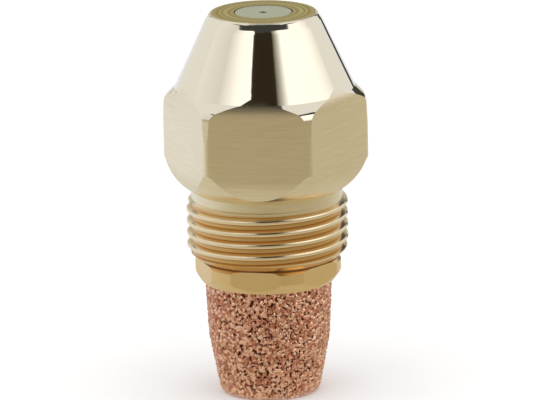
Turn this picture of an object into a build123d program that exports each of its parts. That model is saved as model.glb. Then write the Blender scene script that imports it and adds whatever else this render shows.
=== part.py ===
"""Oil burner nozzle: a turned brass body with its orifice disc, distributor, lock screw and screw-in filter.

The nozzle stands upright on its filter. z = 0 is the closed end of the filter, the spray leaves the
top along +Z, and one flat of the hexagon faces -Y. All lengths are in millimetres.
"""

import os
from math import atan2, ceil, cos, radians, sin, tan

from build123d import *

os.makedirs("parts", exist_ok=True)

INCH = 25.4
SAME_HEIGHT = 0.01

# ---- driving dimensions: threads and wrench sizes ----
HEX_ACROSS_FLATS = 5 / 8 * INCH
HEX_CORNER_ROUND = 0.80
BODY_THREAD_R = 9 / 16 * INCH / 2
BODY_THREAD_PITCH = INCH / 24
BODY_THREAD_DEPTH = 0.46
BODY_THREAD_CREST = 0.26
BODY_THREAD_EASE = 0.07
FILTER_THREAD_R = 3 / 8 * INCH / 2
LOCK_THREAD_R = 5 / 16 * INCH / 2
FINE_PITCH = INCH / 32
FINE_THREAD_DEPTH = 0.40
FINE_THREAD_CREST = 0.17
FINE_THREAD_EASE = 0.03
THREAD_FLANK = tan(radians(30))
THREAD_START = 0.45
THREAD_RUN_OUT = 0.10
FIT_GAP = 0.05
CUTTER_ABOVE = 0.02

# ---- nozzle body, from the spray end down ----
TOP_Z = 34.30
TOP_EDGE_R = 4.72
TOP_EDGE_ROUND = 0.35
NOSE_BEND_R = 5.167
NOSE_BEND_Z = 33.62
NOSE_BEND_ROUND = 2.00
SHOULDER_Z = 27.68
SHOULDER_R = HEX_ACROSS_FLATS / 2
CONE_LEAN = atan2(SHOULDER_R - NOSE_BEND_R, NOSE_BEND_Z - SHOULDER_Z)
CORNER_FLARE = (8.52, 27.12)
CORNER_ROUND_MIDDLE = (8.83, 26.75)
CORNER_ROUND_END = (8.965, 26.20)
HEX_CORNER_R = 9.06
HEX_WIDE_Z = 23.60
HEX_BOTTOM_Z = 21.60
RIM_ROUND_MIDDLE = (9.02, 21.33)
RIM_ROUND_END = (8.88, 21.10)
UNDERSIDE_MIDDLE = (8.14, 19.757)
UNDERSIDE_END = (7.00, 18.74)
NECK_R = 6.68
NECK_TOP_Z = 18.50
NECK_BOTTOM_Z = 17.75
NECK_CHAMFER = 0.35
BODY_END_Z = 12.45
BODY_END_R = 6.40
BODY_LEAD_IN_R = 6.92
BODY_LEAD_IN = 0.48
BODY_CREST_END = 1.00

# ---- each flat of the hexagon bends softly into the cone above it and the underside below it ----
CROWN_TOP_ROUND = 5.20
CROWN_BOTTOM_ROUND = 3.00
CROWN_BOTTOM_LEAN = radians(43)
CROWN_BOTTOM_Z = 19.57
CROWN_GAP = 0.02

# ---- bores of the body ----
LIP_HOLE_R = 2.60
LIP_THICKNESS = 1.60
LIP_Z = TOP_Z - LIP_THICKNESS
MAIN_BORE_R = LOCK_THREAD_R + FIT_GAP
SOCKET_R = FILTER_THREAD_R + FIT_GAP
SOCKET_TOP_Z = 17.70

# ---- orifice disc and the swirl chamber behind it ----
DISC_FACE_R = LIP_HOLE_R - FIT_GAP
DISC_FLANGE_R = MAIN_BORE_R - FIT_GAP
DISC_FACE_Z = TOP_Z - 0.02
DISC_EDGE = 0.06
DISC_BACK_Z = LIP_Z - 1.75
ORIFICE_R = 0.12
ORIFICE_LAND = 0.30
MOUTH_R = 0.42
MOUTH_DEPTH = 0.16
SEAT_BACK_R = 2.45
SWIRL_R = 0.90
SWIRL_DEPTH = 0.55

# ---- distributor ----
SEAT_GAP = 0.10
DISTRIBUTOR_Z = 28.20
FLANGE_R = 3.30
FLANGE_THICKNESS = 1.20
STEM_R = 0.90
STEM_LENGTH = 2.40
SLOTS = 4
SLOT_WIDTH = 0.35
SLOT_DEPTH = 0.35
SLOT_OFFSET = 0.45

# ---- lock screw ----
LOCK_END_Z = 22.30
LOCK_NECK_Z = 26.80
LOCK_NECK_R = 3.10
LOCK_CHAMFER = 0.35
LOCK_BORE_R = 1.25
OIL_HOLES = 4
OIL_HOLE_R = 0.45
DRIVER_SLOT_WIDTH = 1.00
DRIVER_SLOT_DEPTH = 1.20

# ---- filter: screw-in base, sintered cup and the ring that seals the base ----
COLLAR_TOP_Z = 12.20
COLLAR_R = 6.45
COLLAR_FLATS = 12.10
COLLAR_TURN = -5.3
COLLAR_FOOT_R = 5.87
COLLAR_CHAMFER_R = 6.36
COLLAR_CHAMFER_TOP_Z = 10.86
COLLAR_BOTTOM_Z = 10.20
COLLAR_EDGE = 0.22
NIPPLE_END_Z = 17.00
NIPPLE_RELIEF_Z = 13.10
NIPPLE_RELIEF_R = 4.30
NIPPLE_CHAMFER = 0.45
NIPPLE_BORE_R = 2.40
SPIGOT_R = 3.85
SPIGOT_END_Z = 7.40
CUP_TOP_R = 5.65
CUP_WAIST_R = 5.41
CUP_WAIST_Z = 5.20
CUP_BASE_R = 3.75
CUP_FOOT_ROUND = 0.82
CUP_FLOOR_Z = 1.80
CUP_FLOOR_R = 2.70
RING_INNER_R = 4.90
RING_OUTER_R = 5.70


def turn(points):
    """Adds the closed outline of (radius, height) points to the current part, turned about the axis."""
    with BuildSketch(Plane.XZ) as outline:
        with BuildLine():
            Polyline(*points, close=True)
        make_face()
    revolve(outline.sketch, axis=Axis.Z)


def bore(radius, low_z, high_z):
    """Cuts a round hole along the axis, from low_z to high_z, into the current part."""
    with BuildSketch(Plane.XY.offset(low_z)) as section:
        Circle(radius)
    extrude(section.sketch, amount=high_z - low_z, mode=Mode.SUBTRACT)


def cut_thread(major_r, pitch, depth, crest, ease, low_z, high_z):
    """Cuts a right-hand 60 degree groove into the current part, turn by turn, and eases the crest's edges."""
    half = (pitch - crest) / 2
    root = half - depth * THREAD_FLANK
    eased = half - ease * THREAD_FLANK
    mouth = half + ease + CUTTER_ABOVE * (1 + THREAD_FLANK)
    side = [(CUTTER_ABOVE, mouth), (-ease, eased), (-depth, root)]
    other_side = [(x, -y) for x, y in reversed(side)]
    turns = ceil((high_z - low_z) / pitch)
    for number in range(turns):
        from_z = low_z + number * pitch
        height = min(pitch, high_z - from_z)
        with BuildLine():
            helix = Helix(pitch, height, major_r, center=(0, 0, from_z))
        with BuildSketch(Plane(origin=helix @ 0, x_dir=(1, 0, 0), z_dir=helix % 0)) as groove:
            with BuildLine():
                Polyline(*side, *other_side, close=True)
            make_face()
        sweep(groove.sketch, path=helix, is_frenet=True, mode=Mode.SUBTRACT)


def round_off(builder, height, radius):
    """Rounds the circular edge of the current part at that height."""
    circles = builder.edges().filter_by(GeomType.CIRCLE)
    fillet(circles.filter_by(lambda edge: abs((edge @ 0.5).Z - height) < SAME_HEIGHT), radius)


def bend(meet_z, radius, lean, way):
    """Start, middle and end of the arc that bends a flat by lean; unbent, the two lines meet at meet_z."""
    start_z = meet_z - way * radius * tan(lean / 2)
    angles = (0, lean / 2, lean)
    return [(SHOULDER_R - radius * (1 - cos(a)), start_z + way * radius * sin(a)) for a in angles]


def crown_flats(step):
    """Keeps what lies between two opposite flats of the hexagon, with their bends above and below."""
    top_meet_z = SHOULDER_Z + CROWN_GAP / sin(CONE_LEAN)
    top = bend(top_meet_z, CROWN_TOP_ROUND, CONE_LEAN, 1)
    bottom = bend(CROWN_BOTTOM_Z, CROWN_BOTTOM_ROUND, CROWN_BOTTOM_LEAN, -1)
    over_z = TOP_Z + 1
    over = (top[2][0] - (over_z - top[2][1]) * tan(CONE_LEAN), over_z)
    under = (bottom[2][0] - (bottom[2][1] - NECK_TOP_Z) * tan(CROWN_BOTTOM_LEAN), NECK_TOP_Z)
    beyond = 2 * HEX_CORNER_R
    with BuildSketch(Plane.YZ.rotated((0, 0, 60 * step))) as between:
        with BuildLine():
            Polyline((0, over_z), over, top[2])
            ThreePointArc(top[2], top[1], top[0])
            Line(top[0], bottom[0])
            ThreePointArc(bottom[0], bottom[1], bottom[2])
            Polyline(bottom[2], under, (beyond, NECK_TOP_Z), (beyond, 0), (0, 0), (0, over_z))
        make_face()
        mirror(about=Plane.YZ)
    extrude(between.sketch, amount=HEX_CORNER_R + 1, both=True, mode=Mode.INTERSECT)


# ---- nozzle body: cone nose, hexagon, neck and the thread that screws into the burner's adapter ----
# The outline is turned from a plane through the middle of a flat, so that its seam crosses no corner.
with BuildPart() as nozzle_body:
    crest_top_z = NECK_BOTTOM_Z - NECK_CHAMFER
    crest_end = (BODY_THREAD_R, BODY_END_Z + BODY_CREST_END)
    with BuildSketch(Plane.XZ.rotated((0, 0, 30))):
        with BuildLine():
            ThreePointArc((HEX_CORNER_R, HEX_BOTTOM_Z), RIM_ROUND_MIDDLE, RIM_ROUND_END)
            ThreePointArc(RIM_ROUND_END, UNDERSIDE_MIDDLE, UNDERSIDE_END)
            Polyline(UNDERSIDE_END, (NECK_R, NECK_TOP_Z), (NECK_R, NECK_BOTTOM_Z))
            Polyline((NECK_R, NECK_BOTTOM_Z), (BODY_THREAD_R, crest_top_z), crest_end)
            Polyline(crest_end, (BODY_LEAD_IN_R, BODY_END_Z + BODY_LEAD_IN), (BODY_END_R, BODY_END_Z))
            Line((BODY_END_R, BODY_END_Z), (0, BODY_END_Z))
            Polyline((0, BODY_END_Z), (0, TOP_Z), (TOP_EDGE_R, TOP_Z), (NOSE_BEND_R, NOSE_BEND_Z))
            Polyline((NOSE_BEND_R, NOSE_BEND_Z), (SHOULDER_R, SHOULDER_Z), CORNER_FLARE)
            ThreePointArc(CORNER_FLARE, CORNER_ROUND_MIDDLE, CORNER_ROUND_END)
            Polyline(CORNER_ROUND_END, (HEX_CORNER_R, HEX_WIDE_Z), (HEX_CORNER_R, HEX_BOTTOM_Z))
        make_face()
    revolve(axis=Axis.Z)
    with BuildSketch() as hexagon:
        RegularPolygon(HEX_ACROSS_FLATS / 2, 6, major_radius=False)
        fillet(hexagon.vertices(), HEX_CORNER_ROUND)
    extrude(amount=TOP_Z + 1, mode=Mode.INTERSECT)
    for step in range(3):
        crown_flats(step)
    round_off(nozzle_body, NOSE_BEND_Z, NOSE_BEND_ROUND)
    round_off(nozzle_body, TOP_Z, TOP_EDGE_ROUND)
    bore(LIP_HOLE_R, LIP_Z, TOP_Z + 1)
    bore(MAIN_BORE_R, SOCKET_TOP_Z, LIP_Z)
    bore(SOCKET_R, BODY_END_Z - 1, SOCKET_TOP_Z)
    cut_thread(
        BODY_THREAD_R,
        BODY_THREAD_PITCH,
        BODY_THREAD_DEPTH,
        BODY_THREAD_CREST,
        BODY_THREAD_EASE,
        BODY_END_Z - BODY_THREAD_PITCH,
        NECK_BOTTOM_Z + THREAD_RUN_OUT,
    )
nozzle_body.part.label = "nozzle_body"

# ---- orifice disc: stepped stainless disc, held behind the body's lip, with a conical seat inside ----
with BuildPart() as orifice_disc:
    turn(
        [
            (0, DISC_BACK_Z),
            (DISC_FLANGE_R, DISC_BACK_Z),
            (DISC_FLANGE_R, LIP_Z),
            (DISC_FACE_R, LIP_Z),
            (DISC_FACE_R, DISC_FACE_Z - DISC_EDGE),
            (DISC_FACE_R - DISC_EDGE, DISC_FACE_Z),
            (0, DISC_FACE_Z),
        ]
    )
    seat_top_z = DISC_BACK_Z + SEAT_BACK_R - SWIRL_R
    mouth_z = DISC_FACE_Z - MOUTH_DEPTH
    with BuildSketch(Plane.XZ):
        with BuildLine():
            Polyline(
                (0, DISC_BACK_Z),
                (SEAT_BACK_R, DISC_BACK_Z),
                (SWIRL_R, seat_top_z),
                (SWIRL_R, seat_top_z + SWIRL_DEPTH),
                (ORIFICE_R, mouth_z - ORIFICE_LAND),
                (ORIFICE_R, mouth_z),
                (MOUTH_R, DISC_FACE_Z),
                (0, DISC_FACE_Z),
                close=True,
            )
        make_face()
    revolve(axis=Axis.Z, mode=Mode.SUBTRACT)
orifice_disc.part.label = "orifice_disc"

# ---- distributor: 45 degree cone with tangential slots that set the oil swirling ----
with BuildPart() as distributor:
    cone_foot_r = SEAT_BACK_R - SEAT_GAP
    cone_tip_r = SWIRL_R - SEAT_GAP / 2
    flange_top_z = DISTRIBUTOR_Z + FLANGE_THICKNESS
    turn(
        [
            (0, DISTRIBUTOR_Z - STEM_LENGTH),
            (STEM_R, DISTRIBUTOR_Z - STEM_LENGTH),
            (STEM_R, DISTRIBUTOR_Z),
            (FLANGE_R, DISTRIBUTOR_Z),
            (FLANGE_R, flange_top_z),
            (cone_foot_r, flange_top_z),
            (cone_foot_r, DISC_BACK_Z),
            (cone_tip_r, DISC_BACK_Z + cone_foot_r - cone_tip_r),
            (0, DISC_BACK_Z + cone_foot_r - cone_tip_r),
        ]
    )
    for step in range(SLOTS):
        around = Plane.XY.rotated((0, 0, step * 360 / SLOTS)).offset(DISC_BACK_Z)
        on_cone = Plane(
            origin=around.from_local_coords((cone_foot_r, SLOT_OFFSET, 0)),
            x_dir=around.from_local_coords((0, 1, 0)) - around.from_local_coords((0, 0, 0)),
            z_dir=around.from_local_coords((1, 0, 1)) - around.from_local_coords((0, 0, 0)),
        )
        with BuildSketch(on_cone):
            Rectangle(SLOT_WIDTH, 3 * cone_foot_r)
        extrude(amount=-SLOT_DEPTH, mode=Mode.SUBTRACT)
distributor.part.label = "distributor"

# ---- lock screw: drilled screw that clamps the distributor, turned with a driver from below ----
with BuildPart() as lock_screw:
    turn(
        [
            (0, LOCK_END_Z),
            (LOCK_THREAD_R - LOCK_CHAMFER, LOCK_END_Z),
            (LOCK_THREAD_R, LOCK_END_Z + LOCK_CHAMFER),
            (LOCK_THREAD_R, LOCK_NECK_Z - LOCK_CHAMFER),
            (LOCK_THREAD_R - LOCK_CHAMFER, LOCK_NECK_Z),
            (LOCK_NECK_R, LOCK_NECK_Z),
            (LOCK_NECK_R, DISTRIBUTOR_Z),
            (0, DISTRIBUTOR_Z),
        ]
    )
    bore(LOCK_BORE_R, LOCK_END_Z, DISTRIBUTOR_Z)
    with BuildSketch(Plane.XY.offset(LOCK_END_Z)):
        Rectangle(3 * LOCK_THREAD_R, DRIVER_SLOT_WIDTH)
    extrude(amount=DRIVER_SLOT_DEPTH, mode=Mode.SUBTRACT)
    hole_z = (LOCK_NECK_Z + DISTRIBUTOR_Z) / 2
    for step in range(OIL_HOLES):
        outwards = Plane.XZ.rotated((0, 0, step * 360 / OIL_HOLES))
        with BuildSketch(outwards):
            with Locations((0, hole_z)):
                Circle(OIL_HOLE_R)
        extrude(amount=LOCK_THREAD_R, mode=Mode.SUBTRACT)
    cut_thread(
        LOCK_THREAD_R,
        FINE_PITCH,
        FINE_THREAD_DEPTH,
        FINE_THREAD_CREST,
        FINE_THREAD_EASE,
        LOCK_END_Z - FINE_PITCH,
        LOCK_NECK_Z + THREAD_START,
    )
lock_screw.part.label = "lock_screw"

# ---- filter base: wrench collar, threaded nipple above it and the spigot that carries the cup ----
with BuildPart() as filter_base:
    with BuildSketch(Plane.XZ):
        with BuildLine():
            Polyline(
                (0, COLLAR_BOTTOM_Z),
                (COLLAR_FOOT_R, COLLAR_BOTTOM_Z),
                (COLLAR_CHAMFER_R, COLLAR_CHAMFER_TOP_Z),
                (COLLAR_R, COLLAR_CHAMFER_TOP_Z + COLLAR_EDGE),
                (COLLAR_R, COLLAR_TOP_Z - COLLAR_EDGE),
                (COLLAR_R - COLLAR_EDGE, COLLAR_TOP_Z),
                (0, COLLAR_TOP_Z),
                close=True,
            )
        make_face()
    revolve(axis=Axis.Z)
    with BuildSketch():
        RegularPolygon(COLLAR_FLATS / 2, 6, major_radius=False, rotation=COLLAR_TURN)
    extrude(amount=COLLAR_TOP_Z, mode=Mode.INTERSECT)
    turn(
        [
            (0, SPIGOT_END_Z),
            (SPIGOT_R, SPIGOT_END_Z),
            (SPIGOT_R, COLLAR_TOP_Z),
            (NIPPLE_RELIEF_R, COLLAR_TOP_Z),
            (NIPPLE_RELIEF_R, NIPPLE_RELIEF_Z - NIPPLE_CHAMFER),
            (FILTER_THREAD_R, NIPPLE_RELIEF_Z),
            (FILTER_THREAD_R, NIPPLE_END_Z - NIPPLE_CHAMFER),
            (FILTER_THREAD_R - NIPPLE_CHAMFER, NIPPLE_END_Z),
            (0, NIPPLE_END_Z),
        ]
    )
    bore(NIPPLE_BORE_R, SPIGOT_END_Z, NIPPLE_END_Z)
    cut_thread(
        FILTER_THREAD_R,
        FINE_PITCH,
        FINE_THREAD_DEPTH,
        FINE_THREAD_CREST,
        FINE_THREAD_EASE,
        NIPPLE_RELIEF_Z - THREAD_START,
        NIPPLE_END_Z + FINE_PITCH,
    )
filter_base.part.label = "filter_base"

# ---- filter element: sintered bronze cup, pressed on the spigot, closed and rounded at the bottom ----
with BuildPart() as filter_element:
    with BuildSketch(Plane.XZ):
        with BuildLine():
            Line((0, 0), (CUP_BASE_R, 0))
            foot = JernArc((CUP_BASE_R, 0), (1, 0), CUP_FOOT_ROUND, 90)
            ThreePointArc(foot @ 1, (CUP_WAIST_R, CUP_WAIST_Z), (CUP_TOP_R, COLLAR_BOTTOM_Z))
            Polyline(
                (CUP_TOP_R, COLLAR_BOTTOM_Z),
                (SPIGOT_R, COLLAR_BOTTOM_Z),
                (SPIGOT_R, SPIGOT_END_Z),
                (CUP_FLOOR_R, CUP_FLOOR_Z),
                (0, CUP_FLOOR_Z),
                (0, 0),
            )
        make_face()
    revolve(axis=Axis.Z)
filter_element.part.label = "filter_element"

# ---- filter seal ring: soft copper washer between the filter base and the end of the body ----
with BuildPart() as filter_seal_ring:
    with BuildSketch(Plane.XY.offset(COLLAR_TOP_Z)):
        Circle(RING_OUTER_R)
        Circle(RING_INNER_R, mode=Mode.SUBTRACT)
    extrude(amount=BODY_END_Z - COLLAR_TOP_Z)
filter_seal_ring.part.label = "filter_seal_ring"

export_step(nozzle_body.part, "parts/nozzle_body.step")
export_step(orifice_disc.part, "parts/orifice_disc.step")
export_step(distributor.part, "parts/distributor.step")
export_step(lock_screw.part, "parts/lock_screw.step")
export_step(filter_base.part, "parts/filter_base.step")
export_step(filter_element.part, "parts/filter_element.step")
export_step(filter_seal_ring.part, "parts/filter_seal_ring.step")
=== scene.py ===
"""Looks of an oil burner nozzle: brass body, steel disc, brass collar and sintered bronze filter.

The metal parts are the CAD nodes with procedural materials. The filter element gets a mesh of its own,
a cup whose outer skin is made of small fused grains. Sizes are in metres unless a name says millimetres.
"""

import math

import bpy
import numpy as np
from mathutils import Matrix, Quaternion, Vector
from mathutils.kdtree import KDTree


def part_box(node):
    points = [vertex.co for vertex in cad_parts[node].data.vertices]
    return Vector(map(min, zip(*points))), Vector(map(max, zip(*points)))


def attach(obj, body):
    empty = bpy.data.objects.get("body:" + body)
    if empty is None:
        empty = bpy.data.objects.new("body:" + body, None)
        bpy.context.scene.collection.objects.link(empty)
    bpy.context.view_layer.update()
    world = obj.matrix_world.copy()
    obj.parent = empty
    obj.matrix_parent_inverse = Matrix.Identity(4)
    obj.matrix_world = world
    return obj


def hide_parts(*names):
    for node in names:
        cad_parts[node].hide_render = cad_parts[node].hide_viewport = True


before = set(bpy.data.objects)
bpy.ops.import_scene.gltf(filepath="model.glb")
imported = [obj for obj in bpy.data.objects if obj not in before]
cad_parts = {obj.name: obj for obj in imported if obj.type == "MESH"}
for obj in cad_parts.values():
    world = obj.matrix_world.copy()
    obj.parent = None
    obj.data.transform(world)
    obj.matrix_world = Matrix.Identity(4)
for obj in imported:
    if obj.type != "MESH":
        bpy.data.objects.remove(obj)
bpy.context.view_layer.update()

MM = 0.001

# Camera: a long lens a little to the right of the front flat, looking slightly down.
CAMERA_DISTANCE = 0.60
VIEW_WIDTH = 0.04713
SENSOR_WIDTH = 36.0
CAMERA_TURN = math.radians(5.7)
CAMERA_ELEVATION = math.radians(14.5)
CAMERA_ROLL = math.radians(-1.15)
AIM_HEIGHT = 17.25 * MM

# Heights and radii that part the body's finishes; from THREAD_ROOT to THREAD_CREST painted shade darkens
# the thread towards its groove roots.
THREAD_TOP = 17.45 * MM
THREAD_ROOT = 6.68 * MM
THREAD_CREST = 7.10 * MM
UNDERSIDE_TOP = 21.5 * MM
CONE_BOTTOM = 23.5 * MM
FACE_BELOW = 33.0 * MM
FACE_FROM = 34.0 * MM

# Radii of the disc's painted shade: dark in the orifice's mouth and in the gap around the face.
ORIFICE_DARK = 0.20 * MM
ORIFICE_MOUTH = 0.44 * MM
DISC_EDGE = 2.44 * MM
DISC_GAP = 2.54 * MM


# ---------------------------------------------------------------- small helpers


class Graph:
    """A material's node tree, with short calls that add nodes and join them."""

    def __init__(self, name):
        self.material = bpy.data.materials.new(name)
        self.material.use_nodes = True
        self.tree = self.material.node_tree
        self.tree.nodes.clear()
        self.output = self.tree.nodes.new("ShaderNodeOutputMaterial")

    def add(self, kind, inputs=None, **settings):
        """Adds a node; inputs maps socket names or numbers to values or to other nodes' sockets."""
        made = self.tree.nodes.new(kind)
        for key, value in settings.items():
            setattr(made, key, value)
        for key, value in (inputs or {}).items():
            if isinstance(value, bpy.types.NodeSocket):
                self.tree.links.new(value, made.inputs[key])
            else:
                made.inputs[key].default_value = value
        return made

    def math(self, operation, first, second=0.0, third=0.0, clamp=False):
        settings = {"operation": operation, "use_clamp": clamp}
        return self.add("ShaderNodeMath", {0: first, 1: second, 2: third}, **settings).outputs[0]

    def between(self, factor, first, second):
        """A value between first and second."""
        return self.math("MULTIPLY_ADD", factor, self.math("SUBTRACT", second, first), first)

    def ramp(self, value, low, high, start=0.0, end=1.0, smooth=True):
        """value mapped from low..high to start..end, and held there outside."""
        kind = "SMOOTHSTEP" if smooth else "LINEAR"
        inputs = {"Value": value, 1: low, 2: high, 3: start, 4: end}
        return self.add("ShaderNodeMapRange", inputs, interpolation_type=kind).outputs[0]

    def mix(self, factor, first, second):
        """A colour between first and second."""
        made = self.add("ShaderNodeMix", data_type="RGBA")
        for key, value in ((0, factor), (6, first), (7, second)):
            if isinstance(value, bpy.types.NodeSocket):
                self.tree.links.new(value, made.inputs[key])
            elif key == 0:
                made.inputs[key].default_value = value
            else:
                made.inputs[key].default_value = (*value, 1.0)
        return made.outputs[2]

    def colour_stops(self, value, stops):
        """A colour ramp; each stop is (place, grey value or colour)."""
        made = self.add("ShaderNodeValToRGB", {"Fac": value})
        band = made.color_ramp
        while len(band.elements) < len(stops):
            band.elements.new(0.5)
        for element, (at, shade) in zip(band.elements, stops):
            element.position = at
            colour = shade if isinstance(shade, tuple) else (shade, shade, shade)
            element.color = (*colour, 1.0)
        return made.outputs[0]

    def place(self):
        """The point's x, y, z in the object's own frame, and its distance from the axis."""
        where = self.add("ShaderNodeTexCoord").outputs["Object"]
        parts = self.add("ShaderNodeSeparateXYZ", {0: where}).outputs
        across = self.math("MULTIPLY", parts[0], parts[0])
        along = self.math("MULTIPLY", parts[1], parts[1])
        radius = self.math("SQRT", self.math("ADD", across, along))
        return where, parts[0], parts[1], parts[2], radius

    def facing_up(self):
        """The z component of the surface normal in the object's own frame."""
        normal = self.add("ShaderNodeTexCoord").outputs["Normal"]
        return self.add("ShaderNodeSeparateXYZ", {0: normal}).outputs[2]

    def noise(self, vector, scale, detail=2.0, roughness=0.5):
        inputs = {"Vector": vector, "Scale": scale, "Detail": detail, "Roughness": roughness}
        return self.add("ShaderNodeTexNoise", inputs).outputs[0]

    def turned_lines(self, height, radius, scale):
        """Fine rings about the axis, as a lathe leaves them on cylinders, cones and faces."""
        along = self.math("SUBTRACT", height, radius)
        inputs = {"W": along, "Scale": scale, "Detail": 3.0, "Roughness": 0.6}
        return self.add("ShaderNodeTexNoise", inputs, noise_dimensions="1D").outputs[0]

    def bump(self, height, distance, strength=1.0, normal=None):
        inputs = {"Height": height, "Distance": distance, "Strength": strength}
        if normal is not None:
            inputs["Normal"] = normal
        return self.add("ShaderNodeBump", inputs).outputs[0]

    def metal(self, colour, roughness, normal=None, tint=None):
        """Ends the tree in a metal; its values may be sockets, and tint colours grazing reflections."""
        shader = self.add("ShaderNodeBsdfPrincipled", {"Metallic": 1.0})
        values = {"Base Color": colour, "Roughness": roughness, "Normal": normal, "Specular Tint": tint}
        for key, value in values.items():
            if value is None:
                continue
            if isinstance(value, bpy.types.NodeSocket):
                self.tree.links.new(value, shader.inputs[key])
            elif key == "Base Color":
                shader.inputs[key].default_value = (*value, 1.0)
            else:
                shader.inputs[key].default_value = value
        self.tree.links.new(shader.outputs[0], self.output.inputs["Surface"])
        return self.material


def give(node_name, material):
    """The CAD node shows in that material."""
    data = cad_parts[node_name].data
    data.materials.clear()
    data.materials.append(material)


# ---------------------------------------------------------------- materials


def body_material():
    """Polished cone, satin hexagon and golden thread in one brass."""
    g = Graph("body_brass")
    where, x, y, z, radius = g.place()
    up = g.facing_up()
    above_thread = g.ramp(z, THREAD_TOP - 0.1 * MM, THREAD_TOP + 0.1 * MM)
    cone = g.math("MULTIPLY", g.ramp(up, 0.12, 0.34), g.ramp(z, UNDERSIDE_TOP, CONE_BOTTOM))
    top = g.math("MULTIPLY", g.ramp(up, 0.93, 0.99), g.ramp(z, FACE_BELOW, FACE_FROM))
    cloud = g.noise(where, 140.0, 3.0)
    rings = g.turned_lines(z, radius, 2600.0)
    # Colour: cream thread crests with painted shade darkening the thread to orange towards its groove
    # roots, pale hexagon and cone, olive top face.
    gold = g.mix(cloud, (0.86, 0.70, 0.45), (0.95, 0.81, 0.58))
    # Painted shade: the thread darkens to orange from its crests down to its groove roots.
    gold = g.mix(g.ramp(radius, THREAD_ROOT, THREAD_CREST), (0.70, 0.44, 0.18), gold)
    pale = g.mix(cloud, (0.84, 0.72, 0.49), (0.88, 0.77, 0.55))
    polished = (0.93, 0.86, 0.70)
    face = g.mix(g.ramp(rings, 0.36, 0.64), (0.40, 0.34, 0.18), (0.74, 0.66, 0.42))
    colour = g.mix(above_thread, gold, pale)
    colour = g.mix(cone, colour, polished)
    colour = g.mix(top, colour, face)
    # Brushed streaks and soft clouds shade everything but the polished cone.
    brushed = g.add("ShaderNodeMapping", {"Vector": where, "Scale": (0.06, 0.06, 1.0)}).outputs[0]
    streaks = g.math("MULTIPLY_ADD", g.noise(brushed, 7000.0, 3.0, 0.6), 0.22, 0.81)
    shade = g.math("MULTIPLY_ADD", g.noise(where, 90.0, 1.0), 0.16, streaks)
    shade = g.between(cone, g.math("MINIMUM", shade, 1.08), 1.0)
    grey = g.add("ShaderNodeCombineColor", {0: shade, 1: shade, 2: shade}).outputs[0]
    shaded = {0: 1.0, 6: colour, 7: grey}
    colour = g.add("ShaderNodeMix", shaded, data_type="RGBA", blend_type="MULTIPLY").outputs[2]
    satin = g.math("MULTIPLY_ADD", cloud, 0.10, 0.20)
    threads = g.math("MULTIPLY_ADD", cloud, 0.08, 0.12)
    roughness = g.between(above_thread, threads, satin)
    roughness = g.between(cone, roughness, 0.06)
    roughness = g.between(top, roughness, 0.18)
    lines = g.turned_lines(z, radius, 9000.0)
    depth = g.math("MULTIPLY_ADD", cone, -0.85, 1.0)
    normal = g.bump(g.math("MULTIPLY", lines, depth), 0.006 * MM, 0.5)
    normal = g.bump(g.math("MULTIPLY", rings, top), 0.05 * MM, 0.8, normal)
    tint = g.mix(top, (1.0, 1.0, 1.0), (0.84, 0.78, 0.56))
    return g.metal(colour, roughness, normal, tint)


def base_material():
    """Yellow brass of the filter's collar and nipple."""
    g = Graph("base_brass")
    where, x, y, z, radius = g.place()
    cloud = g.noise(where, 260.0, 3.0)
    colour = g.mix(cloud, (0.78, 0.54, 0.24), (0.90, 0.68, 0.36))
    lines = g.turned_lines(z, radius, 7000.0)
    roughness = g.math("MULTIPLY_ADD", cloud, 0.12, 0.20)
    return g.metal(colour, roughness, g.bump(lines, 0.006 * MM, 0.5))


def steel_material(name, colour, roughness):
    """Turned stainless steel, grey with fine rings."""
    g = Graph(name)
    where, x, y, z, radius = g.place()
    cloud = g.noise(where, 300.0, 3.0)
    darker = tuple(0.86 * c for c in colour)
    lines = g.turned_lines(z, radius, 8000.0)
    rough = g.math("MULTIPLY_ADD", cloud, 0.12, roughness)
    return g.metal(g.mix(cloud, darker, colour), rough, g.bump(lines, 0.005 * MM, 0.6))


def disc_material():
    """Pale turned steel, with painted shade making it dark in the orifice's mouth and in the gap around
    the disc's face.
    """
    g = Graph("disc_steel")
    where, x, y, z, radius = g.place()
    cloud = g.noise(where, 300.0, 3.0)
    colour = g.mix(cloud, (0.60, 0.63, 0.53), (0.70, 0.73, 0.61))
    # Painted shade: the orifice's mouth turns near black towards the axis.
    colour = g.mix(g.ramp(radius, ORIFICE_DARK, ORIFICE_MOUTH), (0.05, 0.05, 0.04), colour)
    # Painted shade: a dark ring stands for the shade in the gap around the disc's face.
    colour = g.mix(g.ramp(radius, DISC_EDGE, DISC_GAP), colour, (0.10, 0.09, 0.06))
    lines = g.turned_lines(z, radius, 8000.0)
    rough = g.math("MULTIPLY_ADD", cloud, 0.12, 0.26)
    return g.metal(colour, rough, g.bump(lines, 0.005 * MM, 0.6))


def copper_material():
    """Soft copper of the seal ring."""
    g = Graph("copper")
    where, x, y, z, radius = g.place()
    cloud = g.noise(where, 400.0, 3.0)
    colour = g.mix(cloud, (0.34, 0.19, 0.12), (0.50, 0.29, 0.20))
    return g.metal(colour, g.math("MULTIPLY_ADD", cloud, 0.15, 0.30))


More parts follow.
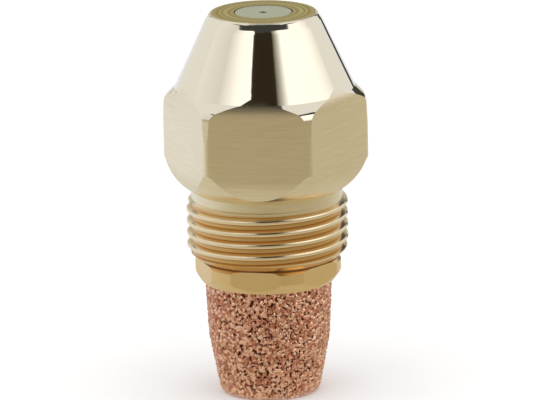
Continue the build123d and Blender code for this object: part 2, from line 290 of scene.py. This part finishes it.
def sintered_material():
    """Pink bronze grains, each with its own tone, with painted shade making them dark down in the pores.
    """
    g = Graph("sintered_bronze")
    where, x, y, z, radius = g.place()
    tone = g.add("ShaderNodeAttribute", attribute_name="grain_tone").outputs["Fac"]
    depth = g.add("ShaderNodeAttribute", attribute_name="grain_height").outputs["Fac"]
    fine = g.noise(where, 9000.0, 2.0)
    pink = g.mix(g.ramp(tone, 0.0, 0.9), (0.56, 0.20, 0.11), (1.0, 0.60, 0.42))
    # Painted shade: the skin darkens with depth, down in the pores between grains.
    colour = g.mix(g.ramp(depth, 0.16, 0.66), (0.10, 0.03, 0.015), pink)
    roughness = g.math("MULTIPLY_ADD", fine, 0.22, 0.12)
    return g.metal(colour, roughness, g.bump(fine, 0.02 * MM, 0.5))


# ---------------------------------------------------------------- filter element

GRAIN_PITCH = 0.27 * MM
GRAIN_SMALLEST = 0.125 * MM
GRAIN_LARGEST = 0.20 * MM
GRAIN_SINK = 0.13 * MM
GRAIN_STRAY = 0.38
RING_SPACING = 0.87
PORE_DEPTH = 0.30 * MM
SKIN_STEP = 0.078 * MM
CUP_BASE_RADIUS = 3.75 * MM
CUP_FOOT_ROUND = 0.82 * MM
CUP_WAIST = (5.41 * MM, 5.20 * MM)
CUP_WALL = 1.75 * MM
CUP_FLOOR = 2.0 * MM
CUP_SOCKET = 2.85 * MM


def cup_outline():
    """Points and outward normals of the cup's outer skin, from the middle of its base up to its rim."""
    low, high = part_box("filter_element")
    rim = (high.x, high.z)
    # The foot's round leaves the flat base and runs on into the wall.
    centre = (CUP_BASE_RADIUS, low.z + CUP_FOOT_ROUND)
    waist_r, waist_z = CUP_WAIST
    wall_lean = math.atan2(waist_r - CUP_BASE_RADIUS - CUP_FOOT_ROUND, waist_z - CUP_FOOT_ROUND)
    turn = math.pi / 2 - wall_lean
    corners = [(0.0, low.z)]
    for a in np.linspace(0.0, turn, 13):
        side, down = math.sin(a), math.cos(a)
        corners.append((centre[0] + CUP_FOOT_ROUND * side, centre[1] - CUP_FOOT_ROUND * down))
    corners += [CUP_WAIST, rim]
    points = np.array(corners)
    legs = np.linalg.norm(np.diff(points, axis=0), axis=1)
    length = np.concatenate([[0.0], np.cumsum(legs)])
    count = int(length[-1] / SKIN_STEP)
    at = np.linspace(0.0, length[-1], count + 1)
    r = np.interp(at, length, points[:, 0])
    z = np.interp(at, length, points[:, 1])
    along = np.stack([np.gradient(r, at), np.gradient(z, at)], axis=1)
    along /= np.linalg.norm(along, axis=1)[:, None]
    return at, r, z, along[:, 1], -along[:, 0]


def grain_centres(at, r, z, nr, nz, rng):
    """Centres, radii and tones of the grains, in rings along the skin, each moved off its place."""
    centres, radii, tones = [], [], []
    for ring in np.arange(0.0, at[-1] + GRAIN_PITCH, GRAIN_PITCH * RING_SPACING):
        ring_radius = np.interp(ring, at, r)
        count = max(1, round(2 * math.pi * ring_radius / GRAIN_PITCH))
        for k in range(count):
            s = ring + rng.uniform(-GRAIN_STRAY, GRAIN_STRAY) * GRAIN_PITCH
            radius = rng.uniform(GRAIN_SMALLEST, GRAIN_LARGEST)
            sink = radius + rng.uniform(0.0, GRAIN_SINK)
            rr = np.interp(s, at, r) - sink * np.interp(s, at, nr)
            zz = np.interp(s, at, z) - sink * np.interp(s, at, nz)
            step = k + rng.uniform(-GRAIN_STRAY, GRAIN_STRAY)
            turn = 2 * math.pi * step / count + ring / GRAIN_PITCH
            centres.append((rr * math.cos(turn), rr * math.sin(turn), zz))
            radii.append(radius)
            tones.append(rng.uniform(0.0, 1.0))
    return centres, radii, tones


def grain_skin(points, normals, centres, radii, tones):
    """How far the grains' skin lies behind each point, and which tone shows there."""
    tree = KDTree(len(centres))
    for i, c in enumerate(centres):
        tree.insert(c, i)
    tree.balance()
    reach = 2 * GRAIN_LARGEST + GRAIN_SINK
    heights = np.full(len(points), -PORE_DEPTH)
    shades = np.full(len(points), 0.5)
    for i, (p, n) in enumerate(zip(points, normals)):
        for c, index, distance in tree.find_range(p, reach):
            back = sum((c[axis] - p[axis]) * n[axis] for axis in range(3))
            beside = distance * distance - back * back
            room = radii[index] ** 2 - beside
            if room > 0 and back + math.sqrt(room) > heights[i]:
                heights[i] = back + math.sqrt(room)
                shades[i] = tones[index]
    return np.minimum(heights, 0.0), shades


def turned(outwards, upwards, cos, sin):
    """The outline's values turned about the axis: one x, y, z row for each outline point and column."""
    along = np.repeat(upwards[:, None], len(cos), 1)
    return np.stack([np.outer(outwards, cos), np.outer(outwards, sin), along], 2).reshape(-1, 3)


def build_filter():
    """The sintered cup: a grainy outer skin, a flat rim and a plain bore, as one closed mesh."""
    rng = np.random.default_rng(17)
    at, r, z, nr, nz = cup_outline()
    columns = int(2 * math.pi * r.max() / SKIN_STEP)
    turns = np.arange(columns) * 2 * math.pi / columns
    cos, sin = np.cos(turns), np.sin(turns)
    rows = np.arange(1, len(at))
    points = turned(r[rows], z[rows], cos, sin)
    normals = turned(nr[rows], nz[rows], cos, sin)
    centres, radii, tones = grain_centres(at, r, z, nr, nz, rng)
    heights, shades = grain_skin(points, normals, centres, radii, tones)
    skin = points + normals * heights[:, None]
    skin[:, 2] = np.clip(skin[:, 2], z[0], z[-1])
    # The rim's flat ring, the bore and its floor close the cup.
    bore = r[-1] - CUP_WALL
    floor_radius = CUP_BASE_RADIUS - 0.8 * CUP_FOOT_ROUND
    inner = [(bore, z[-1]), (bore, z[-1] - CUP_SOCKET), (floor_radius, z[0] + CUP_FLOOR)]
    rings = [np.stack([ir * cos, ir * sin, np.full(columns, iz)], 1) for ir, iz in inner]
    verts = np.concatenate([[[0.0, 0.0, z[0] + 0.05 * MM]], skin, *rings, [[0.0, 0.0, inner[-1][1]]]])
    last = len(verts) - 1
    faces = []
    ring_count = len(rows) + len(rings)
    for row in range(ring_count - 1):
        start = 1 + row * columns
        for k in range(columns):
            n = (k + 1) % columns
            faces.append((start + k, start + n, start + columns + n, start + columns + k))
    top = 1 + (ring_count - 1) * columns
    for k in range(columns):
        n = (k + 1) % columns
        faces.append((0, 1 + n, 1 + k))
        faces.append((last, top + k, top + n))
    data = bpy.data.meshes.new("filter_grains")
    data.from_pydata(verts.tolist(), [], faces)
    data.polygons.foreach_set("use_smooth", [True] * len(data.polygons))
    tail = np.full(len(verts) - 1 - len(skin), 0.5)
    for name, values in (("grain_tone", shades), ("grain_height", 1 + heights / PORE_DEPTH)):
        layer = data.attributes.new(name, "FLOAT", "POINT")
        layer.data.foreach_set("value", np.concatenate([[0.5], values, tail]).astype(np.float32))
    data.update()
    piece = bpy.data.objects.new("filter_grains", data)
    bpy.context.scene.collection.objects.link(piece)
    data.materials.append(sintered_material())
    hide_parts("filter_element")
    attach(piece, "filter")
    return piece


# ---------------------------------------------------------------- studio


def view_direction(turn, elevation):
    """Unit vector from the object, turn to the right of its front as the camera sees it."""
    a = CAMERA_TURN + turn
    level = math.cos(elevation)
    return Vector((math.sin(a) * level, -math.cos(a) * level, math.sin(elevation)))


def make_camera():
    data = bpy.data.cameras.new("camera")
    data.sensor_width = SENSOR_WIDTH
    data.lens = SENSOR_WIDTH * CAMERA_DISTANCE / VIEW_WIDTH
    data.clip_start, data.clip_end = 0.01, 10.0
    camera = bpy.data.objects.new("camera", data)
    bpy.context.scene.collection.objects.link(camera)
    back = view_direction(0.0, CAMERA_ELEVATION)
    camera.location = Vector((0.0, 0.0, AIM_HEIGHT)) + back * CAMERA_DISTANCE
    camera.rotation_mode = "QUATERNION"
    level = (-back).to_track_quat("-Z", "Y")
    camera.rotation_quaternion = level @ Quaternion((0.0, 0.0, 1.0), CAMERA_ROLL)
    bpy.context.scene.camera = camera


PATCH_STEPS = 24


def patch(name, turns, elevations, stops, radius=0.45):
    """A curved card of the studio that shows only in reflections, part of a sphere about the object.

    turns and elevations are its limits in degrees as seen from the object, with turn 0 at the camera.
    stops are (place from 0 to 1 across the turns, brightness or colour).
    """
    steps = PATCH_STEPS
    data = bpy.data.meshes.new(name)
    across = np.linspace(0.0, 1.0, steps + 1)
    verts, faces = [], []
    for e in np.radians(np.linspace(*elevations, steps + 1)):
        for t in np.radians(turns[0] + (turns[1] - turns[0]) * across):
            verts.append(Vector((0.0, 0.0, AIM_HEIGHT)) + view_direction(t, e) * radius)
    for row in range(steps):
        for k in range(steps):
            start = row * (steps + 1) + k
            faces.append((start, start + 1, start + steps + 2, start + steps + 1))
    data.from_pydata(verts, [], faces)
    layer = data.attributes.new("across", "FLOAT", "POINT")
    layer.data.foreach_set("value", np.tile(across, steps + 1).astype(np.float32))
    g = Graph(name)
    place = g.add("ShaderNodeAttribute", attribute_name="across").outputs["Fac"]
    shade = g.add("ShaderNodeEmission", {"Color": g.colour_stops(place, stops)})
    g.tree.links.new(shade.outputs[0], g.output.inputs["Surface"])
    data.materials.append(g.material)
    piece = bpy.data.objects.new(name, data)
    bpy.context.scene.collection.objects.link(piece)
    only_in_reflections(piece)
    return piece


def only_in_reflections(piece):
    piece.visible_camera = False
    piece.visible_diffuse = False
    piece.visible_shadow = False
    piece.visible_transmission = False


def softbox(name, turn, elevation, size, strength, distance=0.5):
    """A soft area light turned to the object, left out of reflections; strength is its brightness."""
    data = bpy.data.lights.new(name, "AREA")
    data.shape = "RECTANGLE"
    data.size, data.size_y = size, size
    data.energy = strength * math.pi * size * size
    light = bpy.data.objects.new(name, data)
    bpy.context.scene.collection.objects.link(light)
    direction = view_direction(math.radians(turn), math.radians(elevation))
    light.location = Vector((0.0, 0.0, AIM_HEIGHT)) + direction * distance
    light.rotation_mode = "QUATERNION"
    light.rotation_quaternion = direction.to_track_quat("Z", "Y")
    light.visible_glossy = False
    light.visible_camera = False
    return light


def flat_square(name, half, height):
    """A level square about the axis that faces up."""
    sides = ((-half, -half), (half, -half), (half, half), (-half, half))
    corners = [(x, y, height) for x, y in sides]
    data = bpy.data.meshes.new(name)
    data.from_pydata(corners, [], [(0, 1, 2, 3)])
    piece = bpy.data.objects.new(name, data)
    bpy.context.scene.collection.objects.link(piece)
    return piece


def make_floor():
    """A wide pale floor that sinks with the filter, so the foot always stands on it."""
    floor = flat_square("floor", 3.0, 0.0)
    g = Graph("floor")
    where = g.add("ShaderNodeTexCoord").outputs["Object"]
    paper = g.mix(g.noise(where, 40.0), (0.90, 0.90, 0.90), (0.93, 0.93, 0.93))
    shader = g.add("ShaderNodeBsdfDiffuse", {"Color": paper})
    clear = g.add("ShaderNodeBsdfTransparent")
    behind = g.add("ShaderNodeNewGeometry").outputs["Backfacing"]
    both = g.add("ShaderNodeMixShader", {0: behind, 1: shader.outputs[0], 2: clear.outputs[0]})
    g.tree.links.new(both.outputs[0], g.output.inputs["Surface"])
    floor.data.materials.append(g.material)
    floor.visible_glossy = False
    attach(floor, "seal_ring")


def even(shade):
    """Stops of a card that has one shade."""
    return [(0.0, shade), (1.0, shade)]


def make_studio():
    world = bpy.data.worlds.new("studio")
    world.use_nodes = True
    background = world.node_tree.nodes["Background"]
    background.inputs["Color"].default_value = (1.0, 1.0, 1.0, 1.0)
    background.inputs["Strength"].default_value = 0.80
    bpy.context.scene.world = world
    bpy.context.scene.view_settings.view_transform = "Standard"
    softbox("overhead", 0, 85, 0.8, 0.8)
    softbox("left_light", -62, 28, 0.5, 0.3)
    softbox("right_light", 62, 28, 0.5, 0.3)
    left = [(0.0, 0.85), (0.45, 0.72), (0.75, 1.15), (1.0, 1.3)]
    right = [(0.0, (0.10, 0.09, 0.05)), (0.10, 0.55), (0.2, 1.25), (0.75, 1.2), (1.0, 0.9)]
    patch("left_box", (-105, -21), (5, 47), left)
    patch("right_box", (17, 105), (5, 47), right)
    patch("front_dark", (-30, 30), (0, 62), even((0.028, 0.022, 0.013)), radius=0.47)
    patch("upper_dark", (-86, 86), (46, 57), even(0.05), radius=0.46)
    patch("ceiling_dark", (-52, 52), (57, 84), even(0.05), radius=0.48)
    patch("back_ceiling", (125, 235), (68, 84), even(0.10), radius=0.48)
    patch("low_dark", (-75, 75), (-3, 5), even(0.08), radius=0.44)
    patch("back_dark", (149, 160), (-14, 45), even(0.05), radius=0.44)
    patch("back_card", (160, 200), (2, 50), even((0.58, 0.56, 0.47)), radius=0.44)
    patch("back_dark_left", (203, 209), (12, 45), even(0.2), radius=0.44)
    make_table()


def make_table():
    """What the metal sees of the surface below it: warm and dim in front, light behind."""
    piece = flat_square("table", 0.42, 0.2 * MM)
    g = Graph("table")
    where, x, y, z, radius = g.place()
    back_left = g.math("ADD", g.math("MULTIPLY", x, -0.55), g.math("MULTIPLY", y, 0.83))
    place = g.ramp(back_left, -0.10, 0.10, smooth=False)
    stops = [
        (0.0, (0.46, 0.41, 0.30)),
        (0.25, (0.50, 0.45, 0.34)),
        (0.5, (0.64, 0.62, 0.53)),
        (0.9, (0.84, 0.88, 0.98)),
    ]
    shade = g.add("ShaderNodeEmission", {"Color": g.colour_stops(place, stops)})
    g.tree.links.new(shade.outputs[0], g.output.inputs["Surface"])
    piece.data.materials.append(g.material)
    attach(piece, "seal_ring")
    only_in_reflections(piece)


# ---------------------------------------------------------------- build

give("nozzle_body", body_material())
give("orifice_disc", disc_material())
give("lock_screw", steel_material("screw_steel", (0.60, 0.58, 0.54), 0.25))
give("distributor", steel_material("distributor_steel", (0.62, 0.60, 0.56), 0.22))
give("filter_base", base_material())
give("filter_seal_ring", copper_material())
build_filter()
make_floor()
make_studio()
make_camera()
